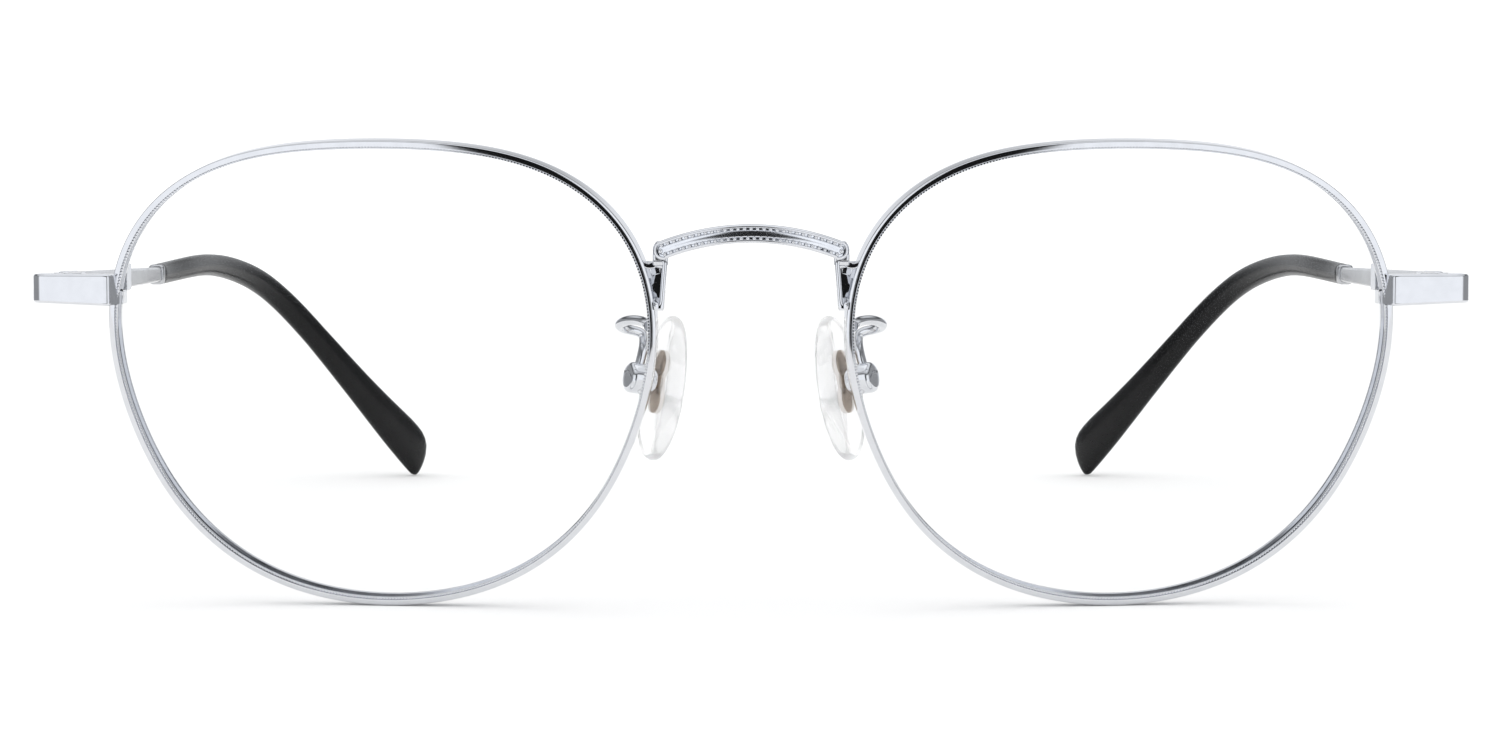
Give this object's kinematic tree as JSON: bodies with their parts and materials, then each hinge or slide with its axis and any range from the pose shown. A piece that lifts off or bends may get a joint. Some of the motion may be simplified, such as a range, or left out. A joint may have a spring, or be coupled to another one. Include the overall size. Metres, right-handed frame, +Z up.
{
  "type": "round wire eyeglasses",
  "caption": "Round wire eyeglasses with clear lenses, beaded rims, an arched bridge, clear nose pads and folding temples with black tips.",
  "frame": {"origin": "bottom centre of the bounding box with the temples open, on the surface the rims and tips stand on", "axes": "+Z up, +X towards the wearer's left, the front faces -Y and the temples run back along +Y"},
  "size_m": [0.141, 0.1454, 0.045],
  "materials": {
    "frame_metal": "polished, lightly satin inside",
    "screw_metal": "fine turned",
    "lens": "clear, polished",
    "pad": "clear, soft gloss",
    "pad_insert": "satin taupe",
    "tip": "satin gloss black"
  },
  "bodies": {
    "front": {"bridge": "frame_metal", "left_bridge_foot": "frame_metal", "left_closing_block_lower": "frame_metal", "left_closing_block_upper": "frame_metal", "left_end_piece": "frame_metal", "left_hinge_front_leaf": "frame_metal", "left_hinge_screw": "screw_metal", "left_lens": "lens", "left_pad_arm": "frame_metal", "left_pad_box": "frame_metal", "left_pad_screw": "screw_metal", "left_rim": "frame_metal", "left_rim_lock_screw": "screw_metal", "right_bridge_foot": "frame_metal", "right_closing_block_lower": "frame_metal", "right_closing_block_upper": "frame_metal", "right_end_piece": "frame_metal", "right_hinge_front_leaf": "frame_metal", "right_hinge_screw": "screw_metal", "right_lens": "lens", "right_pad_arm": "frame_metal", "right_pad_box": "frame_metal", "right_pad_screw": "screw_metal", "right_rim": "frame_metal", "right_rim_lock_screw": "screw_metal"},
    "left_temple": {"left_hinge_temple_leaf": "frame_metal", "left_temple": "frame_metal", "left_temple_tip": "tip"},
    "right_temple": {"right_hinge_temple_leaf": "frame_metal", "right_temple": "frame_metal", "right_temple_tip": "tip"},
    "left_pad": {"left_nose_pad": "pad", "left_pad_insert": "pad_insert"},
    "right_pad": {"right_nose_pad": "pad", "right_pad_insert": "pad_insert"}
  },
  "joints": [
    {"name": "left_temple_fold", "type": "hinge", "parent": "front", "child": "left_temple", "pos_m": [0.06585, -0.0594, 0.03065], "axis": [0, 0, 1], "range_deg": [0, 62]},
    {"name": "right_temple_fold", "type": "hinge", "parent": "front", "child": "right_temple", "pos_m": [-0.06585, -0.0594, 0.03065], "axis": [0, 0, -1], "range_deg": [0, 82]},
    {"name": "left_pad_rock", "type": "hinge", "parent": "front", "child": "left_pad", "pos_m": [0.01045, -0.062, 0.02172], "axis": [-0.4226, -0.9063, 0], "range_deg": [-8, 8]},
    {"name": "right_pad_rock", "type": "hinge", "parent": "front", "child": "right_pad", "pos_m": [-0.01045, -0.062, 0.02172], "axis": [-0.4226, 0.9063, 0], "range_deg": [-8, 8]}
  ]
}
